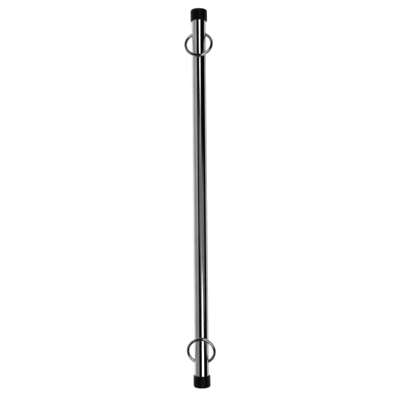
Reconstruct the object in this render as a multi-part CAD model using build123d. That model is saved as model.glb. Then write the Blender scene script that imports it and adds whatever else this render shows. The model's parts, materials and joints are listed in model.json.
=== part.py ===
from build123d import *
import os
from math import asin, atan, cos, degrees, pi, sqrt, tan

# A fixed-length steel tie-down bar: one tube, a rubber cap on each end with a steel
# washer in its floor, and a round ring threaded through a cross-hole near each end.
#
# Row frame, in millimetres: +X along the bar, +Z up, cross-holes along Y. The origin
# is under the bar's middle, on the surface that its two caps lie on.

# Driving dimensions, in millimetres
tube_length = 590.0
tube_diameter = 22.2
tube_wall = 1.5
tube_edge_break = 0.4  # chamfer on the four edges of the tube's cut ends

cap_mouth_wall = 2.3
cap_foot_wall = 2.45  # a cap widens a little from its mouth to its closed end
cap_floor = 3.8
cap_skirt = 13.5  # how far a cap reaches over the tube
cap_end_round = 3.0
cap_mouth_round = 0.7

washer_thickness = 1.2
washer_bore = 8.0
washer_clearance = 0.3  # all round the washer, inside the cap

ring_inner_diameter = 37.0
ring_wire = 4.7
hole_inset = 35.2  # from the tube's end to the cross-hole's axis
hole_clearance = 0.3  # round the slanting wire, where it passes the tube's wall
rest_clearance = 0.3  # between a ring and what it lies on

# Radii and places that follow from them
tube_radius = tube_diameter / 2
bore_radius = tube_radius - tube_wall
tube_end = tube_length / 2
washer_face = tube_end + washer_thickness
cap_end = washer_face + cap_floor
cap_mouth = tube_end - cap_skirt
cap_length = cap_end - cap_mouth
hole_x = tube_end - hole_inset

# The bar lies on the widest circle of each cap, where the rounded edge meets the taper.
cap_mouth_radius = tube_radius + cap_mouth_wall
cap_foot_radius = tube_radius + cap_foot_wall
taper = atan((cap_foot_radius - cap_mouth_radius) / cap_length)
axis_height = cap_foot_radius - cap_end_round * (tan(taper) + 1 / cos(taper) - 1)

# The hinge axis joins the two points where the ring's wire is in the middle of the wall.
wire_radius = ring_wire / 2
ring_radius = ring_inner_diameter / 2 + wire_radius
wall_middle = (tube_radius + bore_radius) / 2
hinge_to_centre = sqrt(ring_radius**2 - wall_middle**2)
hinge_to_far_side = hinge_to_centre + ring_radius

# The wire slants through the wall. Its inner side stands out furthest at the tube's
# surface, and its outer side at the lip inside, which moves as the hole grows.
inner_side_reach = hinge_to_centre - sqrt((ring_radius - wire_radius) ** 2 - tube_radius**2)
hole_radius = inner_side_reach + hole_clearance
for _ in range(5):
    inside_lip = sqrt(bore_radius**2 - hole_radius**2)
    outer_side_reach = sqrt((ring_radius + wire_radius) ** 2 - inside_lip**2) - hinge_to_centre
    hole_radius = max(inner_side_reach, outer_side_reach) + hole_clearance

# A ring at rest lies on the top of the tube, and folded out it lies on the cap.
lift = wire_radius + rest_clearance
rest_angle = degrees(asin((tube_radius + lift) / hinge_to_far_side))
cap_angle = degrees(asin((cap_foot_radius + lift) / hinge_to_far_side))
ring_travel = 180 - rest_angle - cap_angle

left, right = -1, 1


def along_bar(profile):
    """Turns a profile, drawn in the XZ plane from the bar's axis up, about that axis."""
    return Pos(0, 0, axis_height) * revolve(profile, Axis.X)


def on_side(solid, side):
    """Leaves a solid of the right end as it is, or mirrors it to the left end."""
    return solid if side == right else mirror(solid, about=Plane.YZ)


def make_tube():
    """The tube with its broken edges and the two cross-holes."""
    half_wall = Plane.XZ * Pos(0, wall_middle) * Rectangle(tube_length, tube_wall)
    half_wall = chamfer(half_wall.vertices(), tube_edge_break)
    tube = along_bar(half_wall)
    for side in (left, right):
        drill = Rot(90, 0, 0) * Cylinder(hole_radius, 2 * tube_diameter)
        tube -= Pos(side * hole_x, 0, axis_height) * drill
    return tube


def make_cap(side):
    """A rubber cap: a tapered skirt over the tube, and a flat floor past the tube's end."""
    outline = Plane.XZ * Polygon(
        (cap_mouth, 0), (cap_end, 0), (cap_end, cap_foot_radius), (cap_mouth, cap_mouth_radius), align=None
    )
    outline = fillet(outline.vertices().sort_by(Axis.Z)[-1], cap_end_round)
    mouth_rim = outline.vertices().group_by(Axis.X)[0].sort_by(Axis.Z)[-1]
    outline = fillet(mouth_rim, cap_mouth_round)
    depth = washer_face - cap_mouth
    inside = Plane.XZ * Pos(cap_mouth + depth / 2, tube_radius / 2) * Rectangle(depth, tube_radius)
    return on_side(along_bar(outline - inside), side)


def make_washer(side):
    """The steel washer that keeps the tube's cut end from biting through the cap."""
    outer_radius = tube_radius - washer_clearance
    inner_radius = washer_bore / 2
    middle = (outer_radius + inner_radius) / 2
    section = Pos(tube_end + washer_thickness / 2, middle)
    section *= Rectangle(washer_thickness, outer_radius - inner_radius)
    return on_side(along_bar(Plane.XZ * section), side)


def make_ring(side):
    """A closed ring of round wire through the cross-hole, folded in onto the tube."""
    ring = Pos(-hinge_to_centre, 0, 0) * Torus(ring_radius, wire_radius)
    ring = Pos(hole_x, 0, axis_height) * Rot(0, rest_angle, 0) * ring
    return on_side(ring, side)


parts = {"bar_tube": make_tube()}
for name, side in (("left", left), ("right", right)):
    parts["end_cap_" + name] = make_cap(side)
    parts["cap_washer_" + name] = make_washer(side)
    parts["tie_ring_" + name] = make_ring(side)

os.makedirs("parts", exist_ok=True)
for name, solid in parts.items():
    export_step(solid, os.path.join("parts", name + ".step"))

print(f"overall length {2 * cap_end:.2f}")
print(f"cap diameter {2 * cap_mouth_radius:.2f} to {2 * cap_foot_radius:.2f}, cap length {cap_length:.2f}")
print(f"cross-hole diameter {2 * hole_radius:.2f}, axis at x = +-{hole_x:.2f}, z = {axis_height:.4f}")
print(f"ring at rest {rest_angle:.2f} deg above the tube, travel {ring_travel:.2f} deg to the cap")
print(f"ring volume {2 * pi**2 * ring_radius * wire_radius**2:.2f} against {parts['tie_ring_left'].volume:.2f}")
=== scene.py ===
"""Builds the cargo bar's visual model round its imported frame: tube, rings, caps, washers and stage."""
import json
from math import cos, pi, radians, sin

import bmesh
import bpy
import numpy as np
from mathutils import Matrix, Vector


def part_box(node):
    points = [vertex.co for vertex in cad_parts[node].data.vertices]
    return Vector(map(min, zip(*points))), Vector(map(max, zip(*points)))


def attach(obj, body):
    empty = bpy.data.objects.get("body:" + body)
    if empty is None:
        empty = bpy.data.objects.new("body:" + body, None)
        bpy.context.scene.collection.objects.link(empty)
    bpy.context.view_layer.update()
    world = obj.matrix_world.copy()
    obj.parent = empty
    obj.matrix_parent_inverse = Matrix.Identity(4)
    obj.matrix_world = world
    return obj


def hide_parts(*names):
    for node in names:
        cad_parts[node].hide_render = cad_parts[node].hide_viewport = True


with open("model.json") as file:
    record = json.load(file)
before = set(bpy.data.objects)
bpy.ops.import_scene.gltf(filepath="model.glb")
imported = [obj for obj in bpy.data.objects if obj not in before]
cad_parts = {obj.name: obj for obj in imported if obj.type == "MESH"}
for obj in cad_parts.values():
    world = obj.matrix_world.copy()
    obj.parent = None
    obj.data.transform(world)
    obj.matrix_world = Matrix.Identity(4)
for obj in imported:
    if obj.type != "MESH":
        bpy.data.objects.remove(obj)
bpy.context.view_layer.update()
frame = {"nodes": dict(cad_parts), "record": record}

bl_info = {
    "name": "Cargo Bar",
    "version": (1, 0, 0),
    "blender": (4, 5, 0),
    "location": "3D View > Sidebar > Cargo Bar",
    "description": "Builds a chromed cargo bar with rubber caps and tie rings round its packed frame",
    "category": "Object",
}

ENDS = ("left", "right")
MOUNTS = {mount["name"]: mount for mount in frame["record"]["mounts"]}
MM = 0.001
MICRON = 0.000001


class FrameSizes:
    """Sizes and places that the frame already holds, in metres."""

    tube_low, tube_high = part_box("bar_tube")
    half_length = float(tube_high[0])
    tube_radius = float(tube_high[2] - tube_low[2]) / 2
    axis_height = float(tube_high[2] + tube_low[2]) / 2
    cap_low, cap_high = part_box("end_cap_right")
    cap_mouth = float(cap_low[0])
    cap_end = float(cap_high[0])
    cap_radius = float(cap_high[2] - cap_low[2]) / 2
    washer_face = float(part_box("cap_washer_right")[1][0])
    eye = MOUNTS["ring_eye_right"]
    eye_radius = eye["dims"]["r_mm"] * MM
    wire = eye["dims"]["length_mm"] * MM
    hole_x = abs(frame["record"]["behaviour"]["joints"][0]["pos_m"][0])


def length(label, text, default):
    """A length in metres, shown in the scene's units."""
    return bpy.props.FloatProperty(
        name=label, description=text, default=default, min=0.0, unit="LENGTH", precision=5)


def share(label, text, default):
    """A number from nothing to all."""
    return bpy.props.FloatProperty(
        name=label, description=text, default=default, min=0.0, max=1.0, subtype="FACTOR")


def colour(label, text, default):
    """A linear red, green and blue."""
    return bpy.props.FloatVectorProperty(
        name=label, description=text, default=default, min=0.0, max=1.0, subtype="COLOR")


class BarSizes(bpy.types.PropertyGroup):
    """Sizes of the details that the frame's boxes and mounts don't state."""

    wall: length("Tube wall", "Thickness of the tube's wall", 1.5 * MM)
    end_break: length("End chamfer", "Chamfer on the tube's cut ends", 0.4 * MM)
    hole_radius: length("Hole radius", "Radius of the cross-holes that the rings pass through", 3.63 * MM)
    hole_break: length("Hole edge", "Rounding of the cross-hole's outer edge", 0.25 * MM)
    cap_taper: length("Cap taper", "How much a cap's radius grows from its mouth to its foot", 0.15 * MM)
    cap_end_round: length("Cap end round", "Radius of the cap's closed edge", 3.0 * MM)
    cap_mouth_round: length("Cap mouth round", "Radius of the cap's mouth edge", 0.7 * MM)
    gate_radius: length("Gate mark", "Radius of the moulding mark in the middle of a cap's end", 1.6 * MM)
    gate_depth: length("Gate depth", "Depth of the moulding mark", 0.3 * MM)


class BarFinishes(bpy.types.PropertyGroup):
    """Colours and gloss of the bar's finishes and of the floor."""

    chrome: colour("Tube chrome", "Tint of the tube's plating", (0.57, 0.572, 0.575))
    # The rings' chrome is the tube's chrome made darker: painted shade standing in for the rings' darker
    # reflections, not a thinner plating.
    shaded_ring_chrome: colour("Ring chrome", "Tint of the rings' thinner plating", (0.5, 0.502, 0.505))
    chrome_blur: share("Chrome roughness", "Blur of the polished plating", 0.06)
    rubber: colour("Rubber", "Colour of the caps", (0.0012, 0.0012, 0.0012))
    rubber_blur: share("Rubber roughness", "Blur of the moulded rubber", 0.36)
    steel: colour("Washer steel", "Colour of the bare washers", (0.5, 0.5, 0.5))
    floor: colour("Floor", "Colour of the pale floor", (0.9, 0.9, 0.9))


# Meshes -------------------------------------------------------------------------------


def grid_faces(rows, columns, close_rows=False, close_columns=False):
    """Quads of a grid numbered row by row. A closed direction joins its last line to its first."""
    r = np.arange(rows if close_rows else rows - 1)
    c = np.arange(columns if close_columns else columns - 1)
    r, c = np.meshgrid(r, c, indexing="ij")
    next_r = (r + 1) % rows
    next_c = (c + 1) % columns
    corners = [r * columns + c, r * columns + next_c, next_r * columns + next_c, next_r * columns + c]
    return np.stack(corners, axis=-1)


def skin(name, vertices, faces, material, crease=radians(40)):
    """A smooth object from quads of a grid. Points that meet, at seams and poles, become one."""
    used, faces = np.unique(faces, return_inverse=True)
    mesh = bpy.data.meshes.new(name)
    mesh.from_pydata(vertices[used].tolist(), [], faces.reshape(-1, 4).tolist())
    work = bmesh.new()
    work.from_mesh(mesh)
    bmesh.ops.remove_doubles(work, verts=work.verts, dist=1e-7)
    bmesh.ops.recalc_face_normals(work, faces=work.faces)
    work.to_mesh(mesh)
    work.free()
    mesh.shade_smooth()
    mesh.set_sharp_from_angle(angle=crease)
    mesh.materials.append(material)
    obj = bpy.data.objects.new(name, mesh)
    bpy.context.scene.collection.objects.link(obj)
    return obj


def make_piece(name, vertices, faces, body, node, material):
    """A closed piece in place, which rides on a body and stands for a node of the frame."""
    piece = skin(name, vertices, faces, material)
    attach(piece, body)
    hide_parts(node)


def arc(centre, radius, start, stop, steps):
    """Points of a circle's arc in a plane, from one angle to another, about a centre."""
    turn = np.linspace(start, stop, steps + 1)
    return np.stack([centre[0] + radius * np.cos(turn), centre[1] + radius * np.sin(turn)], axis=-1)


def round_bar(along, out, turn):
    """Cylinder coordinates to a point: along the bar, out from its axis, turned from the top towards +Y."""
    return np.stack([along, out * np.sin(turn), FrameSizes.axis_height + out * np.cos(turn)], axis=-1)


def revolve(profile, segments):
    """Each profile point (along, out) is carried round the bar's axis in equal steps."""
    turn = np.arange(segments) * 2 * pi / segments
    along = np.repeat(profile[:, :1], segments, axis=1)
    out = np.repeat(profile[:, 1:], segments, axis=1)
    return round_bar(along, out, turn[None, :])


def tube_shape(sizes, segments=144, hole_cells=6, hole_span=13, middle_cells=26, end_cells=3):
    """The tube's whole skin, outside and bore, with the two cross-holes.

    A closed profile (outside, chamfer, bore, chamfer) is carried round the axis on a grid. Round each hole
    a window of the grid is left out, and strips between the loops of hole_loops fill it.
    """
    size = FrameSizes
    bore = size.tube_radius - sizes.wall
    window = hole_span * 2 * pi / segments * size.tube_radius
    near, far = size.hole_x - window, size.hole_x + window
    hole_lines = np.linspace(near, far, 2 * hole_cells + 1)
    middle_lines = np.linspace(-near, near, middle_cells + 1)[1:-1]
    end_lines = np.linspace(far, size.half_length - sizes.end_break, end_cells + 1)[1:]
    lines = np.concatenate([-end_lines[::-1], -hole_lines[::-1], middle_lines, hole_lines, end_lines])
    outside = np.stack([lines, np.full_like(lines, size.tube_radius)], axis=-1)
    inside = np.stack([lines[::-1], np.full_like(lines, bore)], axis=-1)
    tip = size.half_length
    right_tip = np.array([[tip, size.tube_radius - sizes.end_break], [tip, bore + sizes.end_break]])
    left_tip = right_tip[::-1] * np.array([-1, 1])
    grid = revolve(np.concatenate([outside, right_tip, inside, left_tip]), segments)
    rows, columns = grid.shape[:2]
    numbers = np.arange(rows * columns).reshape(rows, columns)
    faces = grid_faces(rows, columns, close_rows=True, close_columns=True)
    keep = np.ones((rows, columns), dtype=bool)
    bore_row = rows - len(left_tip) - 1 - np.arange(len(lines))
    points, strips, count = [grid.reshape(-1, 3)], [], rows * columns
    for side in (-1, 1):
        hole_x = side * size.hole_x
        first = int(np.argmin(np.abs(lines - (hole_x - window))))
        row = np.arange(first, first + 2 * hole_cells + 1)
        for facing in (-1, 1):
            centre = facing * segments // 4 % segments
            column = np.arange(centre - hole_span, centre + hole_span + 1)
            open_rows = np.concatenate([row[:-1], bore_row[row[1:]]])
            keep[np.ix_(open_rows, column[:-1] % segments)] = False
            edge_row, edge_column = window_edge(row, column)
            along = lines[edge_row] - hole_x
            turn = (edge_column - centre) * 2 * pi / segments
            loops = [round_bar(x + hole_x, out, t + facing * pi / 2)
                     for x, out, t in hole_loops(along, turn, bore, sizes)]
            outer_edge = numbers[edge_row, edge_column % segments]
            bore_edge = numbers[bore_row[edge_row], edge_column % segments]
            own = count + np.arange(len(loops) * len(along)).reshape(len(loops), -1)
            index = np.concatenate([outer_edge[None], own, bore_edge[None]])
            following = np.roll(index, -1, axis=1)
            strip = np.stack([index[:-1], following[:-1], following[1:], index[1:]], axis=-1)
            strips.append(strip.reshape(-1, 4))
            points.append(np.concatenate(loops))
            count += own.size
    return np.concatenate(points), np.concatenate([faces[keep], *strips])


def window_edge(row, column):
    """The grid's rows and columns, met going once round the edge of a window, from corner to corner."""
    along, across = len(row) - 1, len(column) - 1
    edge_row = np.concatenate([row[:-1], np.full(across, row[-1]), row[:0:-1], np.full(across, row[0])])
    edge_column = np.concatenate(
        [np.full(along, column[0]), column[:-1], np.full(along, column[-1]), column[:0:-1]])
    return edge_row, edge_column


def hole_loops(along, turn, bore, sizes):
    """Loops of (along, out, turn) from a window's edge outside, through the hole, to its edge in the bore.

    On a skin, a loop lies a share of the way from the hole's edge to the window's edge, as the skin unrolls.
    The hole's edge is its radius times the cosine and sine of the direction, wrapped on the skin. Between
    the skins, loops follow a quarter round into the hole, and the last starts the straight drilled wall.
    """
    outer = FrameSizes.tube_radius
    outside_shares = (0.72, 0.48, 0.28, 0.13, 0.04, 0.0)
    bore_shares = (0.0, 0.04, 0.2, 0.5)
    rounding_steps = 4
    direction = np.arctan2(turn * outer, along)

    def on_skin(radius, reach, shares):
        """Loops on one skin, where the hole's edge is a given reach from its axis."""
        edge_x = reach * np.cos(direction)
        edge_turn = np.arcsin(reach * np.sin(direction) / radius)
        out = np.full_like(along, radius)
        return [(edge_x + part * (along - edge_x), out, edge_turn + part * (turn - edge_turn))
                for part in shares]

    def rounded(tilt):
        """The loop where the quarter round has turned by an angle from the skin."""
        reach = sizes.hole_radius + sizes.hole_break * (1 - sin(tilt))
        up = reach * np.sin(direction)
        deep = np.sqrt(outer**2 - up**2) - sizes.hole_break * (1 - cos(tilt))
        return reach * np.cos(direction), np.hypot(deep, up), np.arctan2(up, deep)

    loops = on_skin(outer, sizes.hole_radius + sizes.hole_break, outside_shares)
    loops += [rounded(step * pi / 2 / rounding_steps) for step in range(1, rounding_steps + 1)]
    return loops + on_skin(bore, sizes.hole_radius, bore_shares)


def ring_shape(end, around=320, across=48):
    """A torus: the wire's circle, carried round the eye's centre in the plane square to the eye's axis."""
    mount = MOUNTS["ring_eye_" + end]
    centre = np.array(mount["pos_m"])
    normal = np.array(mount["axis"])
    normal = normal / np.linalg.norm(normal)
    sideways = np.array([0.0, 1.0, 0.0])
    forward = np.cross(sideways, normal)
    wire_radius = FrameSizes.wire / 2
    turn = np.arange(around)[:, None] * 2 * pi / around
    tilt = np.arange(across)[None, :] * 2 * pi / across
    reach = FrameSizes.eye_radius + wire_radius + wire_radius * np.cos(tilt)
    in_plane = np.cos(turn)[..., None] * forward + np.sin(turn)[..., None] * sideways
    vertices = centre + reach[..., None] * in_plane + (wire_radius * np.sin(tilt))[..., None] * normal
    return vertices.reshape(-1, 3), grid_faces(around, across, close_rows=True, close_columns=True)


def cap_shape(
        side, sizes, segments=160, mouth_steps=8, skirt_steps=9, foot_steps=18, flat_steps=5, gate_steps=6):
    """A cap's whole skin, closed at a pole on its end and a pole in its floor.

    Its profile is the mouth's round, the tapered skirt, the foot's round, the flat end, the moulding mark as
    a cosine step down, and the bore. It is carried round the bar's axis.
    """
    size = FrameSizes
    mouth_round, end_round = sizes.cap_mouth_round, sizes.cap_end_round
    mouth_radius = size.cap_radius - sizes.cap_taper
    mouth_centre = (size.cap_mouth + mouth_round, mouth_radius - mouth_round)
    foot_centre = (size.cap_end - end_round, size.cap_radius - end_round)
    mouth_arc = arc(mouth_centre, mouth_round, pi, pi / 2, mouth_steps)
    foot_arc = arc(foot_centre, end_round, pi / 2, 0, foot_steps)
    skirt_share = np.linspace(0, 1, skirt_steps + 1)[1:-1, None]
    skirt = mouth_arc[-1] + skirt_share * (foot_arc[0] - mouth_arc[-1])
    gate_rim, gate_floor = sizes.gate_radius * 1.25, sizes.gate_radius * 0.75
    flat = np.linspace(foot_centre[1], gate_rim, flat_steps + 1)[1:]
    flat = np.stack([np.full_like(flat, size.cap_end), flat], axis=-1)
    gate_out = np.linspace(gate_rim, gate_floor, gate_steps + 1)[1:]
    drop = sizes.gate_depth * (1 - np.cos(np.linspace(0, pi, gate_steps + 1)[1:])) / 2
    gate = np.stack([size.cap_end - drop, gate_out], axis=-1)
    pole = np.array([[size.cap_end - sizes.gate_depth, 0.0]])
    pocket = np.array([
        [size.washer_face, 0.0],
        [size.washer_face, size.tube_radius * 0.5],
        [size.washer_face, size.tube_radius],
        [size.cap_mouth, size.tube_radius],
    ])
    profile = np.concatenate([mouth_arc, skirt, foot_arc, flat, gate, pole, pocket])
    profile[:, 0] *= side
    faces = grid_faces(len(profile), segments, close_rows=True, close_columns=True)
    between_poles = len(profile) - len(pocket) - 1
    faces = np.delete(faces, between_poles, axis=0)
    return revolve(profile, segments).reshape(-1, 3), faces


# Materials ----------------------------------------------------------------------------


class Nodes:
    """A short way to add and join shader nodes."""

    def __init__(self, name):
        self.material = bpy.data.materials.new(name)
        self.material.use_nodes = True
        self.tree = self.material.node_tree
        self.shader = self.tree.nodes["Principled BSDF"]
        self.place = self.add("ShaderNodeTexCoord").outputs["Object"]

    def add(self, kind, **inputs):
        """A node with its inputs joined to other sockets or set to values."""
        node = self.tree.nodes.new(kind)
        for key, value in inputs.items():
            self.put(node.inputs[key.replace("_", " ")], value)
        return node

    def put(self, socket, value):
        """Joins a socket to another, or sets it."""
        if isinstance(value, bpy.types.NodeSocket):
            self.tree.links.new(value, socket)
        else:
            socket.default_value = value

    def noise(self, scale, stretch=(1, 1, 1), detail=2.0, rough=0.5):
        """Noise on the object's own coordinates, of a scale per metre, stretched along its axes."""
        mapping = self.add("ShaderNodeMapping", Vector=self.place, Scale=stretch)
        place = mapping.outputs[0]
        node = self.add("ShaderNodeTexNoise", Vector=place, Scale=scale, Detail=detail, Roughness=rough)
        return node.outputs["Fac"]

    def spread(self, value, low, high, start, stop):
        """Maps a value from the range start to stop onto low to high, held at both ends."""
        node = self.add(
            "ShaderNodeMapRange", Value=value, From_Min=start, From_Max=stop, To_Min=low, To_Max=high)
        return node.outputs["Result"]

    def bump(self, height, distance, normal=None):
        """A bump of a height, given in metres, on top of another bump's normal."""
        node = self.add("ShaderNodeBump", Height=height, Distance=distance)
        if normal is not None:
            self.put(node.inputs["Normal"], normal)
        return node.outputs["Normal"]

    def tint(self, amount, base, times):
        """The base colour where the amount is nothing, and that colour times a number where it is all."""
        node = self.tree.nodes.new("ShaderNodeMix")
        node.data_type = "RGBA"
        self.put(node.inputs["Factor"], amount)
        self.put(node.inputs["A"], (*base, 1))
        self.put(node.inputs["B"], (*(times * channel for channel in base), 1))
        self.put(self.shader.inputs["Base Color"], node.outputs["Result"])


def chrome_material(name, tint, blur, grain):
    """Bright plating over drawn steel: polishing lines along the grain, a slow ripple, haze and pits."""
    nodes = Nodes(name)
    shader = nodes.shader
    shader.inputs["Metallic"].default_value = 1.0
    drawn_out = tuple(0.3 if step < 1 else 1 for step in grain)
    lines = nodes.noise(900, grain, detail=3)
    ripple = nodes.noise(210, drawn_out, detail=2)
    haze = nodes.noise(38, detail=3)
    pits = nodes.noise(1500, detail=1)
    nodes.tint(nodes.spread(haze, 0, 1, 0.35, 0.7), tuple(tint), 0.9)
    nodes.put(shader.inputs["Roughness"], nodes.spread(haze, 0.8 * blur, 1.3 * blur, 0.3, 0.7))
    surface = nodes.bump(ripple, 10 * MICRON)
    surface = nodes.bump(lines, 2 * MICRON, surface)
    surface = nodes.bump(nodes.spread(pits, 0, 1, 0.3, 0.36), 1.2 * MICRON, surface)
    nodes.put(shader.inputs["Normal"], surface)
    return nodes.material


def rubber_material(finishes):
    """Moulded black rubber: a fine grain, a faint bloom and rubbed patches."""
    nodes = Nodes("cap_rubber")
    shader = nodes.shader
    blur = finishes.rubber_blur
    bloom = nodes.noise(120, detail=4, rough=0.6)
    grain = nodes.noise(2600)
    nodes.tint(nodes.spread(bloom, 0, 1, 0.45, 0.75), tuple(finishes.rubber), 2.2)
    nodes.put(shader.inputs["Roughness"], nodes.spread(bloom, 0.85 * blur, 1.15 * blur, 0.3, 0.7))
    nodes.put(shader.inputs["Normal"], nodes.bump(grain, 40 * MICRON))
    shader.inputs["Specular IOR Level"].default_value = 0.07
    return nodes.material


def steel_material(finishes):
    """Bare stamped steel: turned grain and light stain."""
    nodes = Nodes("washer_steel")
    shader = nodes.shader
    stain = nodes.noise(260, detail=4)
    grain = nodes.noise(1200, (1, 1, 12))
    shader.inputs["Metallic"].default_value = 1.0
    nodes.tint(nodes.spread(stain, 0, 1, 0.4, 0.75), tuple(finishes.steel), 0.55)
    nodes.put(shader.inputs["Roughness"], nodes.spread(grain, 0.3, 0.5, 0.3, 0.7))
    nodes.put(shader.inputs["Normal"], nodes.bump(grain, 10 * MICRON))
    return nodes.material


def floor_material(finishes):
    """Matt pale paint with a very faint mottle."""
    nodes = Nodes("floor_paint")
    nodes.tint(nodes.noise(9, detail=3), tuple(finishes.floor), 0.985)
    nodes.shader.inputs["Roughness"].default_value = 0.9
    nodes.shader.inputs["Specular IOR Level"].default_value = 0.1
    return nodes.material


# Stage --------------------------------------------------------------------------------


def aim(obj, target, up):
    """Turns a lamp or camera so that it looks at a target with a given upward direction."""
    back = (obj.location - target).normalized()
    right = up.cross(back).normalized()
    true_up = back.cross(right)
    turn = Matrix((right, true_up, back)).transposed()
    obj.rotation_euler = turn.to_euler()


class StudioNodes:
    """The studio that the chrome reflects, as nodes of the world: light by direction, in degrees.

    The angle round the bar runs from the zenith, and is positive towards the front (-Y). The angle along the
    bar is the elevation towards its right end (+X).
    """

    def __init__(self, world):
        world.use_nodes = True
        self.tree = world.node_tree
        self.background = self.tree.nodes["Background"]
        way = self.tree.nodes.new("ShaderNodeTexCoord").outputs["Generated"]
        parts = self.tree.nodes.new("ShaderNodeSeparateXYZ")
        self.tree.links.new(way, parts.inputs[0])
        front = self.math("MULTIPLY", parts.outputs["Y"], -1.0)
        self.round = self.math("DEGREES", self.math("ARCTAN2", front, parts.outputs["Z"]))
        self.along = self.math("DEGREES", self.math("ARCSINE", parts.outputs["X"]))

    def math(self, operation, *values):
        """A math node on sockets or numbers."""
        node = self.tree.nodes.new("ShaderNodeMath")
        node.operation = operation
        for socket, value in zip(node.inputs, values):
            if isinstance(value, bpy.types.NodeSocket):
                self.tree.links.new(value, socket)
            else:
                socket.default_value = value
        return node.outputs[0]

    def rise(self, angle, start, stop, low=0.0, high=1.0):
        """A smooth step from low to high as an angle passes from start to stop."""
        node = self.tree.nodes.new("ShaderNodeMapRange")
        node.interpolation_type = "SMOOTHSTEP"
        self.tree.links.new(angle, node.inputs["Value"])
        for name, value in (("From Min", start), ("From Max", stop), ("To Min", low), ("To Max", high)):
            node.inputs[name].default_value = value
        return node.outputs["Result"]

    def fall(self, angle, start, stop):
        """A smooth step from one to nothing as an angle passes from start to stop."""
        return self.rise(angle, start, stop, 1.0, 0.0)

    def under(self, angle, limit):
        """How far an angle is under a limit, as a number below zero, and zero above the limit."""
        return self.math("MINIMUM", self.math("SUBTRACT", angle, limit), 0.0)

    def total(self, *lights):
        """The sum of several lights."""
        result = lights[0]
        for light in lights[1:]:
            result = self.math("ADD", result, light)
        return result

    def product(self, *factors):
        """The product of several values."""
        result = factors[0]
        for factor in factors[1:]:
            result = self.math("MULTIPLY", result, factor)
        return result

    def box(self, middle, radii, edge, power=2.0):
        """One inside a rounded shape of directions and nothing outside it, with a soft edge.

        The shape is where the offsets, as shares of the radii, raised to a power and added, come to one. A
        power of 2 is an oval, and a lower one is nearer to a diamond.
        """
        offsets = []
        for angle, centre, radius in zip((self.round, self.along), middle, radii):
            offset = self.math("DIVIDE", self.math("SUBTRACT", angle, centre), radius)
            offsets.append(self.math("POWER", self.math("ABSOLUTE", offset), power))
        reach = self.math("POWER", self.total(*offsets), 1 / power)
        return self.fall(reach, 1 - edge, 1 + edge)


def paint_studio(world):
    """Paints the pale floor, the back wall, two softboxes overhead and a dim sheet. The rest is dark."""
    studio = StudioNodes(world)
    turn, along = studio.round, studio.along
    rise, fall, under, box, product = studio.rise, studio.fall, studio.under, studio.box, studio.product
    softbox_light, right_fringe_light, left_fringe_light, sheet_light, gloom = 2.6, 0.8, 0.25, 0.26, 0.002

    # The floor at the back dims towards the wall, and the floor in front starts further down.
    back_floor = product(fall(turn, -92, -90), rise(turn, -118, -72, 0.87, 0.32))
    front_floor = product(rise(turn, 105, 114), rise(turn, 115, 140, 1.1, 0.72))

    # The wall at the back is brighter upwards and to the right, and ends well short of the bar's line.
    wall_shade = product(rise(turn, -84, -54, 0.33, 0.6), rise(along, -16, 12, 0.7, 1.1))
    wall_reach = product(fall(along, 35, 55), rise(along, -55, -35))
    wall = product(rise(turn, -92, -90), fall(turn, -39, -35), wall_shade, wall_reach)

    # A softbox towards each end, each with a dimmer fringe on its side nearest the middle.
    right_box = product(box((17, 26), (13.8, 16), 0.075, 1.4), softbox_light)
    right_fringe = product(box((18.5, 10), (5.5, 4), 0.5), right_fringe_light)
    left_box = product(box((25, -21), (16, 17), 0.1), softbox_light)
    left_fringe = product(box((14, -3.5), (6, 4), 0.5), left_fringe_light)

    # The sheet between them. Its back edge slants at the left end, and its right end fades on a slant.
    slanted_turn = studio.total(turn, product(under(along, -0.2), 3.4))
    slanted_along = studio.total(along, product(under(turn, 42), 0.135))
    sheet_across = product(rise(slanted_turn, -14, -5), fall(turn, 58, 66))
    sheet_along = product(fall(slanted_along, 1.8, 7.2), rise(along, -9, -5), fall(along, 7.5, 11.5))
    sheet = product(sheet_across, sheet_along, sheet_light)

    light = studio.total(
        back_floor, wall, front_floor, right_box, right_fringe, left_box, left_fringe, sheet, gloom)
    studio.tree.links.new(light, studio.background.inputs["Strength"])
    studio.background.inputs["Color"].default_value = (1, 1, 1, 1)


def add_fill(place=(-0.18, -0.48, 4.0), side=0.5, power=116):
    """A fill lamp for the floor and the rubber. It has no shadow, and chrome and camera don't see it."""
    lamp = bpy.data.lights.new("overhead_fill", "AREA")
    lamp.shape = "SQUARE"
    lamp.size = side
    lamp.energy = power
    lamp.use_shadow = False
    obj = bpy.data.objects.new("overhead_fill", lamp)
    obj.location = place
    aim(obj, Vector((0, 0, 0)), Vector((1, 0, 0)))
    obj.visible_camera = False
    obj.visible_glossy = False
    bpy.context.scene.collection.objects.link(obj)


def add_floor(finishes, flat=1.9, bend=1.2, height=2.6, segments=128, bend_steps=32):
    """A level floor that the caps lie on, which curves up into a plain wall all round.

    A profile (out, up) of a straight line, a quarter circle and a straight line is carried round the
    vertical.
    """
    curve = arc((flat, bend), bend, -pi / 2, 0, bend_steps)
    profile = np.concatenate([[(0.0, 0.0)], curve, [(flat + bend, height)]])
    turn = np.arange(segments) * 2 * pi / segments
    out, up = profile[:, :1], np.repeat(profile[:, 1:], segments, axis=1)
    vertices = np.stack([out * np.cos(turn), out * np.sin(turn), up], axis=-1)
    faces = grid_faces(len(profile), segments, close_columns=True)
    floor = skin("floor", vertices.reshape(-1, 3), faces, floor_material(finishes))
    floor.visible_glossy = False


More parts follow.
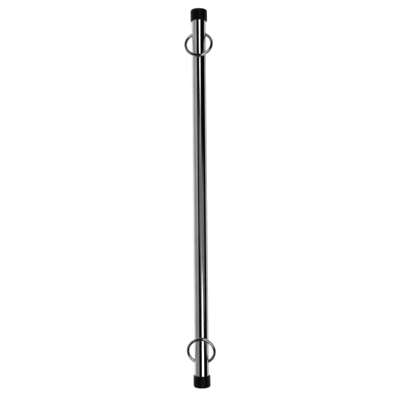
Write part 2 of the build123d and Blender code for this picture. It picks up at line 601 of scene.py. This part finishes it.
def add_camera():
    """Looks down on the bar, a little from its front side and a little from its left end."""
    distance, lens, sensor = 1.0887, 61.65, 36
    toward_left, toward_front, lean = radians(2.52), radians(6.93), radians(0.504)
    below_middle, left_of_middle = 0.0055, 0.0007
    bar = Vector((1, 0, 0))
    middle = Vector((0, 0, FrameSizes.axis_height))
    across_bar = cos(toward_left)
    out = Vector((-sin(toward_left), -sin(toward_front) * across_bar, cos(toward_front) * across_bar))

    def frame_axes(back):
        """The view's upward and rightward directions when the bar runs up it."""
        up = (bar - bar.dot(back) * back).normalized()
        return up, up.cross(back)

    data = bpy.data.cameras.new("camera")
    data.sensor_width = sensor
    data.lens = lens
    camera = bpy.data.objects.new("camera", data)
    camera.location = middle + distance * out
    up, right = frame_axes(out)
    target = middle - below_middle * up - left_of_middle * right
    up, right = frame_axes((camera.location - target).normalized())
    aim(camera, target, up * cos(lean) + right * sin(lean))
    bpy.context.scene.collection.objects.link(camera)
    bpy.context.scene.camera = camera


# Operators ----------------------------------------------------------------------------


class CARGO_BAR_OT_add_tube(bpy.types.Operator):
    """Adds the chromed tube with its two cross-holes"""

    bl_idname = "cargo_bar.add_tube"
    bl_label = "Add Tube"

    def execute(self, context):
        finishes = context.scene.bar_finishes
        material = chrome_material("chromed_tube", finishes.chrome, finishes.chrome_blur, (0.02, 1, 1))
        vertices, faces = tube_shape(context.scene.bar_sizes)
        make_piece("polished_tube", vertices, faces, "bar", "bar_tube", material)
        return {"FINISHED"}


class CARGO_BAR_OT_add_rings(bpy.types.Operator):
    """Adds the two tie rings, each through its cross-hole"""

    bl_idname = "cargo_bar.add_rings"
    bl_label = "Add Tie Rings"

    def execute(self, context):
        finishes = context.scene.bar_finishes
        # The rings get a darker tint than the tube's, as painted shade.
        material = chrome_material("chromed_ring", finishes.shaded_ring_chrome, finishes.chrome_blur, (1, 1, 1))
        for end in ENDS:
            vertices, faces = ring_shape(end)
            name, body, node = "round_ring_" + end, "ring_" + end, "tie_ring_" + end
            make_piece(name, vertices, faces, body, node, material)
        return {"FINISHED"}


class CARGO_BAR_OT_add_caps(bpy.types.Operator):
    """Adds the two moulded rubber caps"""

    bl_idname = "cargo_bar.add_caps"
    bl_label = "Add Rubber Caps"

    def execute(self, context):
        material = rubber_material(context.scene.bar_finishes)
        for side, end in zip((-1, 1), ENDS):
            vertices, faces = cap_shape(side, context.scene.bar_sizes)
            name, node = "rubber_cap_" + end, "end_cap_" + end
            make_piece(name, vertices, faces, "bar", node, material)
        return {"FINISHED"}


class CARGO_BAR_OT_finish_washers(bpy.types.Operator):
    """Gives the two washers inside the caps their bare steel"""

    bl_idname = "cargo_bar.finish_washers"
    bl_label = "Finish Washers"

    def execute(self, context):
        material = steel_material(context.scene.bar_finishes)
        for end in ENDS:
            washer = frame["nodes"]["cap_washer_" + end]
            washer.material_slots[0].material = material
        return {"FINISHED"}


class CARGO_BAR_OT_set_stage(bpy.types.Operator):
    """Sets the pale floor, the studio, the fill lamp and the camera"""

    bl_idname = "cargo_bar.set_stage"
    bl_label = "Set Stage"

    def execute(self, context):
        scene = context.scene
        scene.view_settings.view_transform = "Standard"
        scene.world = bpy.data.worlds.new("studio")
        paint_studio(scene.world)
        add_floor(scene.bar_finishes)
        add_fill()
        add_camera()
        return {"FINISHED"}


class CARGO_BAR_PT_sidebar(bpy.types.Panel):
    """Lists the bar's pieces, sizes and finishes"""

    bl_idname = "CARGO_BAR_PT_sidebar"
    bl_label = "Cargo Bar"
    bl_space_type = "VIEW_3D"
    bl_region_type = "UI"
    bl_category = "Cargo Bar"

    def draw(self, context):
        layout = self.layout
        for operator in OPERATORS:
            layout.operator(operator.bl_idname)
        for group in (context.scene.bar_sizes, context.scene.bar_finishes):
            box = layout.box()
            for name in group.__annotations__:
                box.prop(group, name)


OPERATORS = (
    CARGO_BAR_OT_add_tube,
    CARGO_BAR_OT_add_rings,
    CARGO_BAR_OT_add_caps,
    CARGO_BAR_OT_finish_washers,
    CARGO_BAR_OT_set_stage,
)
CLASSES = (BarSizes, BarFinishes, *OPERATORS, CARGO_BAR_PT_sidebar)


def register():
    for cls in CLASSES:
        bpy.utils.register_class(cls)
    bpy.types.Scene.bar_sizes = bpy.props.PointerProperty(type=BarSizes)
    bpy.types.Scene.bar_finishes = bpy.props.PointerProperty(type=BarFinishes)


def unregister():
    del bpy.types.Scene.bar_finishes
    del bpy.types.Scene.bar_sizes
    for cls in reversed(CLASSES):
        bpy.utils.unregister_class(cls)


def main():
    """Builds the whole scene."""
    register()
    bpy.ops.cargo_bar.add_tube()
    bpy.ops.cargo_bar.add_rings()
    bpy.ops.cargo_bar.add_caps()
    bpy.ops.cargo_bar.finish_washers()
    bpy.ops.cargo_bar.set_stage()


if __name__ == "__main__":
    main()
